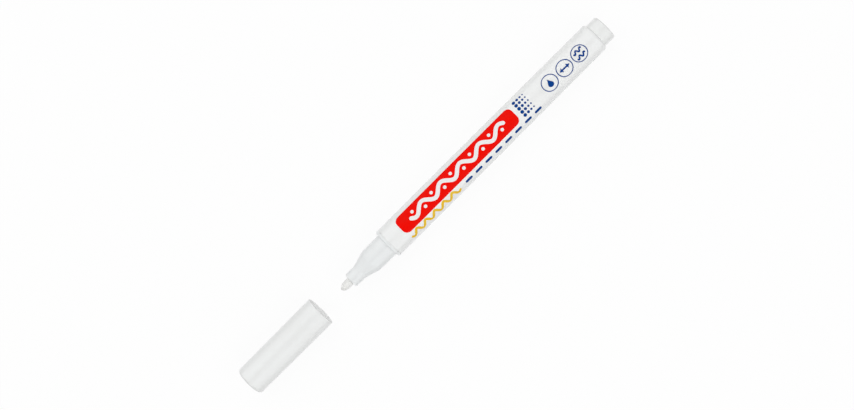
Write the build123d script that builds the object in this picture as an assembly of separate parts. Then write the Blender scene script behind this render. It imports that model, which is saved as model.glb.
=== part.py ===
from build123d import *
import math
import os

# Liquid chalk marker with a spring valve. It lies on its side with its cap pulled off in line.
#
# Every piece is turned about one long axis. A station is a place along that axis, counted in
# millimetres from the barrel's front face: negative towards the writing tip, positive towards the
# tail. Each piece is modelled on the axis and then laid down, so that the barrel rests on the ground
# plane and the middle of the whole length stands over the origin. Steps, drafts and walls of tubes are
# measured along the radius, and edges and rounds are the radii of rounded corners.

# Barrel
BARREL_DIA = 11.54
BARREL_LENGTH = 101.0
BARREL_WALL = 1.05
GRIP_LENGTH = 36.0
BARREL_DRAFT = 0.21
TAIL_ROUND = 0.9
REAR_WALL = 2.0

# Tail plug
STUB_LENGTH = 4.6
STUB_STEP = 0.8
STUB_ROUND = 0.6
STUB_END_WALL = 1.5
PLUG_SHOULDER = 0.95
PLUG_DEPTH = 4.0
PLUG_WALL = 0.9
BARB_STEP = 0.25
BARB_LENGTH = 1.2

# Nose
FLANGE_THICKNESS = 0.8
FLANGE_EDGE = 0.25
SEAM_EDGE = 0.08
SEAT_LENGTH = 8.1
SEAT_DRAFT = 0.15
SHOULDER_LENGTH = 5.45
SHOULDER_STEP = 1.57
SHOULDER_ROUND = 5.0
NECK_BLEND = 5.0
NECK_LENGTH = 4.3
NECK_DRAFT = 0.07
NECK_WALL = 1.13
NECK_ROUND = 0.9
NOSE_WALL = 0.9
NOSE_SPIGOT_LENGTH = 8.0
CHAMBER_SETBACK = 0.5
BEAD_SETBACK = 3.0
BEAD_LENGTH = 1.5
BEAD_STEP = 0.2

# Nib and the sleeve that feeds it
NIB_REACH = 4.65
NIB_POINT = 3.0
BUFFER_LENGTH = 3.0

# Valve
STROKE = 2.0
STOP_GAP = 0.3
CUP_DEPTH = 2.0
CUP_WEB = 0.6
CUP_WALL = 0.5
CUP_GAP = 0.4
ROD_DIA = 1.4
ROD_FLOW_GAP = 0.35
VALVE_WALL = 0.8
VALVE_SEAT = 1.5
VALVE_FLANGE = 1.2
HEAD_FLOW_GAP = 0.3
HEAD_THICKNESS = 1.0
GASKET_THICKNESS = 0.8
GASKET_STEP = 0.08
PIN_LENGTH = 1.4

# Spring and its cage
CAGE_WALL = 0.45
CAGE_COLLAR = 0.8
CAGE_COLLAR_STEP = 0.6
CAGE_SKIRT = 1.8
CAGE_END_WALL = 0.9
BASKET_LENGTH = 3.0
WINDOW_COUNT = 4
WINDOW_WIDTH = 1.4
WIRE_DIA = 0.3
SPRING_TURNS = 8
SPRING_PLAY = 0.1

# Mixing ball and the liquid round it
BALL_ROOM = 2.25
INK_LEVEL = 2.0

# Cap
CAP_LENGTH = 35.3
CAP_WALL = 1.15
CAP_TAPER_STEP = 0.2
CAP_EDGE = 0.12
CAP_ROUND = 1.0
CAP_END_WALL = 1.4
CAP_PULLED = 32.8

# Liner inside the cap
LINER_ENTRY = 3.4
LINER_STEP = 0.3
LINER_FLANGE = 1.2
LINER_BOTTOM = 0.9
LINER_LEAD = 0.4
LINER_TIP_ROOM = 2.0
LINER_SIDE_ROOM = 0.9

# Clearances
PRESS_GAP = 0.03
SLIDE_GAP = 0.08
CAP_GAP = 0.07
SEAL_GAP = 0.1
LINER_GAP = 0.3
BALL_GAP = 0.1
INK_GAP = 0.15
SNAP_GAP = 0.05

# Radii that fit into each other, from the barrel inwards
barrel_radius = BARREL_DIA / 2
bore_radius = barrel_radius - BARREL_WALL
tail_radius = barrel_radius - BARREL_DRAFT
stub_radius = tail_radius - STUB_STEP
plug_radius = stub_radius - PLUG_SHOULDER
cap_bore_radius = barrel_radius - CAP_WALL
seat_radius = cap_bore_radius - CAP_GAP
shoulder_radius = seat_radius - SEAT_DRAFT
neck_radius = shoulder_radius - SHOULDER_STEP
guide_radius = neck_radius - NECK_DRAFT - NECK_WALL
nib_radius = guide_radius - SLIDE_GAP
spigot_radius = bore_radius - PRESS_GAP
chamber_radius = shoulder_radius - NOSE_WALL
valve_radius = chamber_radius - PRESS_GAP
valve_bore_radius = valve_radius - VALVE_WALL
rod_radius = ROD_DIA / 2
head_radius = valve_bore_radius - HEAD_FLOW_GAP
cage_radius = valve_bore_radius - PRESS_GAP
cage_bore_radius = cage_radius - CAGE_WALL
coil_radius = cage_bore_radius - SPRING_PLAY - WIRE_DIA / 2
pin_radius = coil_radius - WIRE_DIA / 2 - SPRING_PLAY
ball_radius = bore_radius - BALL_ROOM
ball_drop = bore_radius - ball_radius - BALL_GAP
liner_bore_radius = cap_bore_radius - LINER_STEP

# Stations of the nose and the nib
shoulder_station = -FLANGE_THICKNESS - SEAT_LENGTH
neck_station = shoulder_station - SHOULDER_LENGTH
nose_front = neck_station - NECK_LENGTH
nib_tip = nose_front - NIB_REACH
chamber_front = shoulder_station + CHAMBER_SETBACK

# Stations of the valve, from the tip to the tail
buffer_rear = chamber_front + BUFFER_LENGTH
cup_front = buffer_rear + CUP_GAP
nib_rear = cup_front + CUP_DEPTH
cup_rear = nib_rear + CUP_WEB
seat_front = cup_rear + STROKE + STOP_GAP
seat_rear = seat_front + VALVE_SEAT
gasket_rear = seat_rear + PRESS_GAP + GASKET_THICKNESS
head_rear = gasket_rear + HEAD_THICKNESS
valve_rear = NOSE_SPIGOT_LENGTH + VALVE_FLANGE
collar_rear = valve_rear + CAGE_COLLAR
basket_end = collar_rear + BASKET_LENGTH
cage_rear = basket_end + CAGE_END_WALL

# Stations of the tail
rear_wall_front = BARREL_LENGTH - REAR_WALL
barb_rear = rear_wall_front - SNAP_GAP
plug_front = rear_wall_front - PLUG_DEPTH
stub_end = BARREL_LENGTH + STUB_LENGTH

# Stations of the pulled-off cap, whose inside is shaped for the nose at the same shift
cap_mouth = -FLANGE_THICKNESS - CAP_PULLED
cap_end = cap_mouth - CAP_LENGTH
cap_shift = -CAP_PULLED
liner_entry = cap_shift + shoulder_station - LINER_ENTRY
liner_step = liner_entry - LINER_FLANGE

# Where the axis lies in the part's own frame
lay_down = Pos(-(cap_end + stub_end) / 2, 0, barrel_radius)


def turned(corners):
    """Solid turned about the axis from corners of (station, radius) or (station, radius, round)."""
    points = [corner[:2] for corner in corners]
    rounds = [corner[2] if len(corner) == 3 else 0 for corner in corners]
    outline = FilletPolyline(*points, radius=rounds, close=True)
    return revolve(make_face(outline), Axis.X)


def barrel():
    """Tube with a groove that the nose snaps into, a straight grip, a draft to the tail and a rear wall."""
    rear_hole = plug_radius + PRESS_GAP
    groove_radius = bore_radius + BEAD_STEP
    groove_front = BEAD_SETBACK - SNAP_GAP
    groove_rear = BEAD_SETBACK + BEAD_LENGTH + SNAP_GAP
    return turned([
        (groove_rear, bore_radius),
        (groove_rear, groove_radius),
        (groove_front, groove_radius),
        (groove_front, bore_radius),
        (0, bore_radius),
        (0, barrel_radius, SEAM_EDGE),
        (GRIP_LENGTH, barrel_radius),
        (BARREL_LENGTH, tail_radius, TAIL_ROUND),
        (BARREL_LENGTH, rear_hole),
        (rear_wall_front, rear_hole),
        (rear_wall_front, bore_radius),
    ])


def tail_plug():
    """Hollow plug with a round stub outside the barrel and a snap barb inside its rear wall."""
    plug_bore = plug_radius - PLUG_WALL
    return turned([
        (stub_end, 0),
        (stub_end, stub_radius, STUB_ROUND),
        (BARREL_LENGTH, stub_radius),
        (BARREL_LENGTH, plug_radius),
        (barb_rear, plug_radius),
        (barb_rear, plug_radius + BARB_STEP),
        (barb_rear - BARB_LENGTH, plug_radius),
        (plug_front, plug_radius),
        (plug_front, plug_bore),
        (stub_end - STUB_END_WALL, plug_bore),
        (stub_end - STUB_END_WALL, 0),
    ])


def nose_cone():
    """Nose with a snap bead, a flange, a seat for the cap, a sloped shoulder and a neck for the nib."""
    return turned([
        (NOSE_SPIGOT_LENGTH, chamber_radius),
        (NOSE_SPIGOT_LENGTH, spigot_radius),
        (BEAD_SETBACK + BEAD_LENGTH, spigot_radius),
        (BEAD_SETBACK, spigot_radius + BEAD_STEP),
        (BEAD_SETBACK, spigot_radius),
        (0, spigot_radius),
        (0, barrel_radius, SEAM_EDGE),
        (-FLANGE_THICKNESS, barrel_radius, FLANGE_EDGE),
        (-FLANGE_THICKNESS, seat_radius),
        (shoulder_station, shoulder_radius, SHOULDER_ROUND),
        (neck_station, neck_radius, NECK_BLEND),
        (nose_front, neck_radius - NECK_DRAFT, NECK_ROUND),
        (nose_front, guide_radius),
        (chamber_front, guide_radius),
        (chamber_front, chamber_radius),
    ])


def nib():
    """Round rod of bonded fibre with a bullet point, half an ellipse in outline."""
    point_base = nib_tip + NIB_POINT
    point = EllipticalCenterArc((point_base, 0), NIB_POINT, nib_radius, start_angle=90, arc_size=90)
    sides = Polyline((nib_tip, 0), (nib_rear, 0), (nib_rear, nib_radius), (point_base, nib_radius))
    return revolve(make_face([point, *sides.edges()]), Axis.X)


def nib_buffer():
    """Porous sleeve round the nib, at the front of the nose's chamber."""
    return turned([
        (chamber_front, guide_radius),
        (chamber_front, chamber_radius - PRESS_GAP),
        (buffer_rear, chamber_radius - PRESS_GAP),
        (buffer_rear, guide_radius),
    ])


def valve_body():
    """Tube inside the nose, with the valve seat at its front and a flange behind the nose's spigot."""
    seat_hole = rod_radius + ROD_FLOW_GAP
    return turned([
        (seat_front, seat_hole),
        (seat_front, valve_radius),
        (NOSE_SPIGOT_LENGTH, valve_radius),
        (NOSE_SPIGOT_LENGTH, spigot_radius),
        (valve_rear, spigot_radius),
        (valve_rear, valve_bore_radius),
        (seat_rear, valve_bore_radius),
        (seat_rear, seat_hole),
    ])


def valve_stem():
    """Cup behind the nib, rod through the valve seat, closing head and spring pin, in one piece."""
    cup_bore = nib_radius + PRESS_GAP
    cup_radius = cup_bore + CUP_WALL
    cup_floor = nib_rear + PRESS_GAP
    return turned([
        (cup_floor, 0),
        (cup_floor, cup_bore),
        (cup_front, cup_bore),
        (cup_front, cup_radius),
        (cup_rear, cup_radius),
        (cup_rear, rod_radius),
        (gasket_rear, rod_radius),
        (gasket_rear, head_radius),
        (head_rear, head_radius),
        (head_rear, pin_radius),
        (head_rear + PIN_LENGTH, pin_radius),
        (head_rear + PIN_LENGTH, 0),
    ])


def valve_gasket():
    """Rubber ring in front of the stem's head, which closes the valve seat."""
    return turned([
        (seat_rear + PRESS_GAP, rod_radius + PRESS_GAP),
        (seat_rear + PRESS_GAP, head_radius - GASKET_STEP),
        (gasket_rear, head_radius - GASKET_STEP),
        (gasket_rear, rod_radius + PRESS_GAP),
    ])


def biarc(start, start_way, end, end_way):
    """Two arcs, tangent to each other, from one point and direction to another."""
    span = end - start
    along = span.dot(start_way + end_way)
    fold = 2 * (1 - start_way.dot(end_way))
    reach = (math.sqrt(along**2 + fold * span.dot(span)) - along) / fold
    near = start + start_way * reach
    far = end - end_way * reach
    middle = (near + far) / 2
    return [
        Edge.make_tangent_arc(start, start_way, middle),
        Edge.make_tangent_arc(middle, far - near, end),
    ]


def spring_path():
    """Helix between the stem's head and the cage's end wall, in biarcs of a quarter turn."""
    start = head_rear + WIRE_DIA / 2 + PRESS_GAP
    pitch = (basket_end - head_rear - WIRE_DIA - 2 * PRESS_GAP) / SPRING_TURNS
    rise = pitch / math.tau

    def place(angle):
        return Vector(start + rise * angle, coil_radius * math.cos(angle), coil_radius * math.sin(angle))

    def heading(angle):
        return Vector(rise, -coil_radius * math.sin(angle), coil_radius * math.cos(angle)).normalized()

    arcs = []
    for quarter in range(4 * SPRING_TURNS):
        first = quarter * math.pi / 2
        last = first + math.pi / 2
        arcs += biarc(place(first), heading(first), place(last), heading(last))
    return Wire(arcs)


def least_gap(path):
    """Smallest space between a coiled wire's turns, measured on points half a turn or more apart."""
    steps_per_turn = 24
    steps = steps_per_turn * SPRING_TURNS
    points = [path @ (step / steps) for step in range(steps + 1)]
    apart = steps_per_turn // 2
    return min(
        (other - point).length
        for index, point in enumerate(points)
        for other in points[index + apart:]
    ) - WIRE_DIA


def valve_spring():
    """Compression spring of round wire, one unbroken tube."""
    path = spring_path()
    print(f"valve_spring: least gap between turns {least_gap(path):.2f} mm")
    section = Plane(origin=path @ 0, z_dir=path % 0) * Circle(WIRE_DIA / 2)
    return sweep(section, path=path)


def spring_cage():
    """Basket behind the valve body: a skirt in its bore, a collar, windows for the liquid, an end wall."""
    collar_radius = cage_radius + CAGE_COLLAR_STEP
    basket = turned([
        (valve_rear - CAGE_SKIRT, cage_bore_radius),
        (valve_rear - CAGE_SKIRT, cage_radius),
        (valve_rear, cage_radius),
        (valve_rear, collar_radius),
        (collar_rear, collar_radius),
        (collar_rear, cage_radius),
        (cage_rear, cage_radius),
        (cage_rear, 0),
        (basket_end - PIN_LENGTH, 0),
        (basket_end - PIN_LENGTH, pin_radius),
        (basket_end, pin_radius),
        (basket_end, cage_bore_radius),
    ])
    window = Pos((collar_rear + basket_end) / 2, 0, cage_radius) * Box(
        BASKET_LENGTH, WINDOW_WIDTH, 2 * (cage_radius - coil_radius)
    )
    for index in range(WINDOW_COUNT):
        basket -= Rot(index * 360 / WINDOW_COUNT, 0, 0) * window
    return basket


def mixing_ball():
    """Steel ball that lies on the bottom of the bore, at the front end of the reservoir."""
    return Pos(cage_rear + BALL_GAP + ball_radius, 0, -ball_drop) * Sphere(ball_radius)


def liquid_chalk():
    """Fill of the lying barrel up to its level, with a channel along the bottom where the ball rolls."""
    front = cage_rear + INK_GAP
    length = plug_front - INK_GAP - front
    along = Pos(front + length / 2, 0, 0) * Rot(0, 90, 0)
    channel = Pos(0, 0, -ball_drop) * along * Cylinder(ball_radius + INK_GAP, length)
    above = Pos(front + length / 2, 0, INK_LEVEL) * Box(
        length, BARREL_DIA, BARREL_DIA, align=(Align.CENTER, Align.CENTER, Align.MIN)
    )
    return along * Cylinder(bore_radius - INK_GAP, length) - channel - above


def cap_shell():
    """Plain cap with a slight taper to its closed end and a step inside that the liner rests on."""
    hollow_end = cap_end + CAP_END_WALL
    return turned([
        (cap_mouth, cap_bore_radius, CAP_EDGE),
        (cap_mouth, barrel_radius, CAP_EDGE),
        (cap_end, barrel_radius - CAP_TAPER_STEP, CAP_ROUND),
        (cap_end, 0),
        (hollow_end, 0),
        (hollow_end, liner_bore_radius),
        (liner_step, liner_bore_radius),
        (liner_step, cap_bore_radius),
    ])


def cap_liner():
    """Closed thimble inside the cap, with a funnel for the shoulder and a bore that seals on the neck."""
    entry_radius = shoulder_radius - SHOULDER_STEP * LINER_ENTRY / SHOULDER_LENGTH + LINER_GAP
    neck_start = cap_shift + neck_station - LINER_LEAD
    neck_end = cap_shift + nose_front - LINER_LEAD
    floor = cap_shift + nib_tip - LINER_TIP_ROOM
    flange_radius = cap_bore_radius - PRESS_GAP
    body_radius = liner_bore_radius - PRESS_GAP
    seal_radius = neck_radius + SEAL_GAP
    tip_radius = nib_radius + LINER_SIDE_ROOM
    return turned([
        (liner_entry, entry_radius),
        (liner_entry, flange_radius),
        (liner_step, flange_radius),
        (liner_step, body_radius),
        (floor - LINER_BOTTOM, body_radius),
        (floor - LINER_BOTTOM, 0),
        (floor, 0),
        (floor, tip_radius),
        (neck_end, tip_radius),
        (neck_end, seal_radius),
        (neck_start, seal_radius),
    ])


PIECES = [
    barrel,
    tail_plug,
    nose_cone,
    nib,
    nib_buffer,
    valve_body,
    valve_stem,
    valve_gasket,
    valve_spring,
    spring_cage,
    mixing_ball,
    liquid_chalk,
    cap_shell,
    cap_liner,
]

os.makedirs("parts", exist_ok=True)
for piece in PIECES:
    export_step(lay_down * piece(), f"parts/{piece.__name__}.step")
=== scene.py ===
"""Looks of a liquid chalk marker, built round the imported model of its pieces.

The marker lies along X with its tail at +X and its printed side up. Sizes are in millimetres. A station
is a place along the axis, counted from the barrel's front face towards the tail. An arc is a distance
round the barrel, counted from its top line towards -Y. Meshes are in metres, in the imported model's frame.
"""

import logging
import math
from dataclasses import dataclass, replace
from enum import Enum
from functools import cache
from typing import Callable, ClassVar, Optional, Sequence, Union

import bpy
import numpy as np
from mathutils import Matrix, Vector


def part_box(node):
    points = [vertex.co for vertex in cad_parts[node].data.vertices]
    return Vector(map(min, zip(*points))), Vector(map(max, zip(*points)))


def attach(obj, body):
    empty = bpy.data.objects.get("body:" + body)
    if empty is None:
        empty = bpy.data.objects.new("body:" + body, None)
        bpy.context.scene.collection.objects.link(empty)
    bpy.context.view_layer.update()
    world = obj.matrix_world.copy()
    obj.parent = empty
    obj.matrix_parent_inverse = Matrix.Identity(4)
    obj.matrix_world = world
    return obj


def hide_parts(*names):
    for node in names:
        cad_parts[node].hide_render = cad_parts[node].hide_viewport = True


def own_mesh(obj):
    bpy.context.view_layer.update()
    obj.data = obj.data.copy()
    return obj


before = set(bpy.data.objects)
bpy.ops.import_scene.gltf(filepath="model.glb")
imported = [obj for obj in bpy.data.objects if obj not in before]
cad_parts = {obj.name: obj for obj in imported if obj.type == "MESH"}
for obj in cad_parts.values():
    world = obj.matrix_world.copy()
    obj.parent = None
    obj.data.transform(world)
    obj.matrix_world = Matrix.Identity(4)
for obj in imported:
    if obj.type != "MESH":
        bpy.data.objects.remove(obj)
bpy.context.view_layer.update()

Colour = tuple[float, float, float, float]
Piece = bpy.types.Object
Socket = bpy.types.NodeSocket
Fed = Union[Socket, float, tuple]
Inputs = dict[Union[str, int], Fed]
Band = tuple[float, float]
Relief = Callable[[np.ndarray, np.ndarray], np.ndarray]

LOG = logging.getLogger("chalk_marker")
MM = 0.001
BARREL_LOW, BARREL_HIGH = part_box("barrel")
FRONT_X = BARREL_LOW.x / MM
AXIS_HEIGHT = (BARREL_LOW.z + BARREL_HIGH.z) / 2 / MM


def extent(node: str) -> tuple[float, float, float]:
    """Front station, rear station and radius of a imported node, in millimetres."""
    low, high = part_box(node)
    return low.x / MM - FRONT_X, high.x / MM - FRONT_X, (high.y - low.y) / 2 / MM


_, BARREL_LENGTH, BARREL_RADIUS = extent("barrel")


class Body(Enum):
    """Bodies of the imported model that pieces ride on."""

    MARKER = "marker"
    NIB = "nib"
    CAP = "cap"


@dataclass(frozen=True)
class Corner:
    """One corner of a turned outline: its station, its radius and how far it is rounded."""

    station: float
    radius: float
    round: float = 0.0


ROUND_STEPS = 9


def rounded(corners: Sequence[Corner]) -> np.ndarray:
    """Outline with its corners rounded.

    A rounded corner is an arc tangent to its two runs: its centre lies on their bisector, and its points
    turn evenly from one tangent point to the other. An outline that starts off the axis joins its start.

    Args:
        corners: Corners in order.

    Returns:
        Array of (station, radius) rows.
    """
    places = np.array([(corner.station, corner.radius) for corner in corners], float)
    joined = corners[0].radius > 0
    rows = []
    for index, corner in enumerate(corners):
        inner = joined or 0 < index < len(corners) - 1
        if not corner.round or not inner:
            rows.append(places[index][None, :])
            continue
        back = places[index - 1] - places[index]
        ahead = places[(index + 1) % len(corners)] - places[index]
        back /= np.linalg.norm(back)
        ahead /= np.linalg.norm(ahead)
        half = math.acos(float(np.clip(back @ ahead, -1, 1))) / 2
        bisector = (back + ahead) / np.linalg.norm(back + ahead)
        centre = places[index] + bisector * corner.round / math.sin(half)
        first = places[index] + back * corner.round / math.tan(half) - centre
        last = places[index] + ahead * corner.round / math.tan(half) - centre
        sweep = math.pi - 2 * half
        share = np.linspace(0, 1, ROUND_STEPS)[:, None]
        arc = np.sin((1 - share) * sweep) * first + np.sin(share * sweep) * last
        rows.append(centre + arc / math.sin(sweep))
    return np.concatenate(rows)


def refined(outline: np.ndarray, longest: float) -> np.ndarray:
    """Outline whose runs are divided evenly until none is longer than a limit.

    Args:
        outline: Rows of (station, radius).
        longest: Longest run to keep, in millimetres.

    Returns:
        The divided outline.
    """
    ends = np.roll(outline, -1, axis=0)
    runs = np.linalg.norm(ends - outline, axis=1)
    counts = np.maximum(1, np.ceil(runs / longest)).astype(int)
    if outline[0, 1] == 0:
        counts[-1] = 1
    start = np.repeat(np.arange(len(outline)), counts)
    step = np.arange(len(start)) - np.repeat(np.cumsum(counts) - counts, counts)
    share = (step / counts[start])[:, None]
    return outline[start] * (1 - share) + ends[start] * share


def on_axis(station: np.ndarray, radius: np.ndarray, angle: np.ndarray) -> np.ndarray:
    """Points in metres at a station, a distance from the axis and an angle from the top towards -Y."""
    places = (station + FRONT_X, -radius * np.sin(angle), AXIS_HEIGHT + radius * np.cos(angle))
    return np.stack(np.broadcast_arrays(*places), axis=-1) * MM


@dataclass
class Shell:
    """One closed surface: its points and its faces, four or three corners each."""

    points: np.ndarray
    quads: np.ndarray
    tris: np.ndarray

    def facing_out(self) -> "Shell":
        """Turn the faces outwards, by the sign of the volume that they enclose.

        Returns:
            The surface with its faces outwards.
        """
        fans = np.concatenate([self.quads[:, [0, 1, 2]], self.quads[:, [0, 2, 3]], self.tris])
        a, b, c = (self.points[fans[:, k]] for k in range(3))
        if np.einsum("ij,ij->i", a, np.cross(b, c)).sum() < 0:
            return Shell(self.points, self.quads[:, ::-1], self.tris[:, ::-1])
        return self


NO_TRIS = np.zeros((0, 3), int)


def ring_quads(rings: int, columns: int, joined: bool) -> np.ndarray:
    """Faces between rings of points that are numbered ring by ring.

    Args:
        rings: Number of rings.
        columns: Number of points in a ring.
        joined: Whether the last ring joins the first.

    Returns:
        Array of four point numbers a face.
    """
    i = np.arange(rings if joined else rings - 1)[:, None]
    j = np.arange(columns)[None, :]
    below = (i + 1) % rings
    beside = (j + 1) % columns
    corners = [i * columns + j, below * columns + j, below * columns + beside, i * columns + beside]
    return np.stack(corners, axis=-1).reshape(-1, 4)


def tube(rings: np.ndarray, ends: Optional[np.ndarray] = None) -> Shell:
    """Closed surface over a row of rings.

    Args:
        rings: Points by ring and by place in the ring.
        ends: Points in which the first and the last ring close. Without them those two rings join.

    Returns:
        The closed surface.
    """
    count, columns = rings.shape[:2]
    points = rings.reshape(-1, 3)
    quads = ring_quads(count, columns, ends is None)
    if ends is None:
        return Shell(points, quads, NO_TRIS).facing_out()
    ring = np.arange(columns)
    after = (ring + 1) % columns
    pole = np.full(columns, len(points))
    last = len(points) - columns
    start_fan = np.stack([pole, ring, after], axis=1)
    end_fan = np.stack([pole + 1, last + after, last + ring], axis=1)
    return Shell(np.concatenate([points, ends]), quads, np.concatenate([start_fan, end_fan])).facing_out()


def turned(outline: np.ndarray, turns: int, relief: Relief) -> Shell:
    """Surface of an outline turned about the axis.

    Point (i, j) has the outline's station and radius at i, plus the relief there, and the angle 2 pi j over
    the number of turns. An outline that starts on the axis closes in a pole at each end.

    Args:
        outline: Rows of (station, radius).
        turns: Number of steps round the axis.
        relief: Height to add to the radius at a station and an angle, in millimetres.

    Returns:
        The closed surface.
    """
    poles = outline[0, 1] == 0
    body = outline[1:-1] if poles else outline
    angle = np.linspace(0, 2 * math.pi, turns, endpoint=False)[None, :]
    station = body[:, :1]
    rings = on_axis(station, body[:, 1:] + relief(station, angle), angle)
    ends = on_axis(outline[[0, -1], 0], np.zeros(2), np.zeros(2))
    return tube(rings, ends if poles else None)


SMOOTH_LIMIT = math.radians(35)


def put_mesh(name: str, shells: Sequence[Shell]) -> Piece:
    """New object at the origin that holds surfaces, smooth but for its sharp edges.

    Args:
        name: Name of the piece.
        shells: Surfaces.

    Returns:
        The linked object.
    """
    offsets = np.cumsum([0] + [len(shell.points) for shell in shells])
    faces: list[list[int]] = []
    for shell, offset in zip(shells, offsets):
        faces += (shell.quads + offset).tolist()
        faces += (shell.tris + offset).tolist()
    mesh = bpy.data.meshes.new(name)
    mesh.from_pydata(np.concatenate([shell.points for shell in shells]).tolist(), [], faces)
    mesh.shade_smooth()
    mesh.set_sharp_from_angle(angle=SMOOTH_LIMIT)
    mesh.validate()
    piece = bpy.data.objects.new(name, mesh)
    bpy.context.scene.collection.objects.link(piece)
    return piece


UNIT = (0.0, 1.0)
WHITE = (1.0, 1.0, 1.0, 1.0)
# Places of a Mix node's colour sockets, which share their names with its other sockets.
MIX_FIRST = 6
MIX_SECOND = 7
MIX_RESULT = 2


@dataclass(frozen=True)
class Grain:
    """Noise of so many cells a metre along the axis and across it, with octaves of finer noise."""

    along: float
    across: float
    octaves: float


class Graph:
    """A node tree that nodes are added to and joined in."""

    def __init__(self, tree: bpy.types.NodeTree) -> None:
        """Keep the tree."""
        self.tree = tree

    def feed(self, node: bpy.types.Node, values: Inputs) -> None:
        """Give a node's inputs their constants, or link sockets to them.

        Args:
            node: The node.
            values: Constants and sockets, by the input's name or place.
        """
        for key, value in values.items():
            if isinstance(value, Socket):
                self.tree.links.new(value, node.inputs[key])
            else:
                node.inputs[key].default_value = value

    def add(self, kind: str, values: Optional[Inputs] = None, **settings: object) -> bpy.types.Node:
        """New node.

        Args:
            kind: Blender's name of the node type.
            values: Constants and sockets, by the input's name or place.
            settings: Properties of the node.

        Returns:
            The node.
        """
        node = self.tree.nodes.new(kind)
        for key, value in settings.items():
            setattr(node, key, value)
        self.feed(node, values or {})
        return node

    def place(self, along: float, across: float, shift: tuple[float, ...] = (0.0, 0.0, 0.0)) -> Socket:
        """Object coordinates, scaled and then shifted.

        Args:
            along: Scale along the axis.
            across: Scale across the axis.
            shift: What is added after the scaling.

        Returns:
            The coordinate socket.
        """
        plain = self.add("ShaderNodeTexCoord").outputs["Object"]
        values = {"Vector": plain, "Location": shift, "Scale": (along, across, across)}
        return self.add("ShaderNodeMapping", values).outputs["Vector"]

    def noise(self, grain: Grain) -> Socket:
        """Noise of a grain, from 0 to 1."""
        values = {"Vector": self.place(grain.along, grain.across), "Scale": 1.0, "Detail": grain.octaves}
        return self.add("ShaderNodeTexNoise", values).outputs["Fac"]

    def spread(self, value: Socket, band: Band, low: Fed = 0.0, high: Fed = 1.0) -> Socket:
        """Value carried from a band of the input to between two ends."""
        values = {"Value": value, "From Min": band[0], "From Max": band[1], "To Min": low, "To Max": high}
        return self.add("ShaderNodeMapRange", values).outputs["Result"]

    def between(self, share: Socket, first: Fed, second: Fed) -> Socket:
        """Colour that lies a share of the way from a first colour to a second."""
        values = {"Factor": share, MIX_FIRST: first, MIX_SECOND: second}
        return self.add("ShaderNodeMix", values, data_type="RGBA").outputs[MIX_RESULT]

    def maths(self, operation: str, first: Fed, second: Fed) -> Socket:
        """Result of one of Blender's named operations on two numbers or sockets."""
        return self.add("ShaderNodeMath", {0: first, 1: second}, operation=operation).outputs["Value"]


class Effect:
    """Surface effect kept once as a node group, which puts out a colour, a roughness and a height."""

    name: ClassVar[str]
    cloud: ClassVar[Grain]
    tone_band: ClassVar[Band] = (0.35, 0.65)
    sockets: ClassVar[dict[str, dict[str, str]]] = {
        "INPUT": {"Pale": "Color", "Deep": "Color", "Smooth": "Float", "Rough": "Float", "Detail": "Float"},
        "OUTPUT": {"Color": "Color", "Roughness": "Float", "Height": "Float"},
    }

    def __init__(self) -> None:
        """Make the group's sockets and fill it."""
        self.tree = bpy.data.node_groups.new(self.name, "ShaderNodeTree")
        for way, labels in self.sockets.items():
            for label, kind in labels.items():
                self.tree.interface.new_socket(label, in_out=way, socket_type=f"NodeSocket{kind}")
        self.graph = Graph(self.tree)
        self.given = self.graph.add("NodeGroupInput").outputs
        self.fill()

    def fill(self) -> None:
        """Join the nodes that make the effect."""
        raise NotImplementedError

    def clouded(self, streaks: Socket) -> Socket:
        """Tone that is half cloud and half streaks, carried from its band to between 0 and 1."""
        both = self.graph.maths("ADD", self.graph.noise(self.cloud), streaks)
        return self.graph.spread(self.graph.maths("MULTIPLY", both, 0.5), self.tone_band)

    def put_out(self, tone: Socket, wear: Socket, height: Socket) -> None:
        """Carry a tone, a wear and a height to the group's outputs.

        Args:
            tone: Share of the deep colour.
            wear: Share of the rough end.
            height: Height of the surface.
        """
        colour = self.graph.between(tone, self.given["Pale"], self.given["Deep"])
        roughness = self.graph.spread(wear, UNIT, self.given["Smooth"], self.given["Rough"])
        self.graph.add("NodeGroupOutput", {"Color": colour, "Roughness": roughness, "Height": height})


class MouldedSkin(Effect):
    """Moulded plastic: cloudy tone, flow lines along the axis, fine grain and sparse handling marks."""

    name = "moulded_skin"
    cloud = Grain(along=120.0, across=120.0, octaves=3.0)
    flow = Grain(along=30.0, across=900.0, octaves=2.0)
    grain = Grain(along=5200.0, across=5200.0, octaves=2.0)
    marks = Grain(along=2600.0, across=140.0, octaves=1.0)
    mark_band = (0.66, 0.8)
    mark_depth = 0.5
    grain_wear = 0.7

    def fill(self) -> None:
        """Tone from cloud and flow, wear from grain and marks, and height from all but the cloud."""
        graph = self.graph
        flow = graph.noise(self.flow)
        grain = graph.noise(self.grain)
        marks = graph.spread(graph.noise(self.marks), self.mark_band)
        wear = graph.maths("MAXIMUM", graph.maths("MULTIPLY", grain, self.grain_wear), marks)
        lines = graph.maths("MULTIPLY", flow, self.given["Detail"])
        dents = graph.maths("MULTIPLY", marks, self.mark_depth)
        height = graph.maths("SUBTRACT", graph.maths("ADD", grain, lines), dents)
        self.put_out(self.clouded(flow), wear, height)


class FibreBundle(Effect):
    """Bonded fibres along the axis: streaks on the sides and fibre ends on the point."""

    name = "fibre_bundle"
    cloud = Grain(along=700.0, across=700.0, octaves=2.0)
    strands = Grain(along=260.0, across=5200.0, octaves=3.0)
    bundles = Grain(along=90.0, across=1500.0, octaves=2.0)
    tone_band = (0.34, 0.68)

    def fill(self) -> None:
        """Coarse bundles and fine strands, long along the axis, over a soft cloud."""
        graph = self.graph
        strands = graph.noise(self.strands)
        bundles = graph.noise(self.bundles)
        height = graph.maths("ADD", strands, graph.maths("MULTIPLY", bundles, self.given["Detail"]))
        self.put_out(self.clouded(strands), bundles, height)


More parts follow.
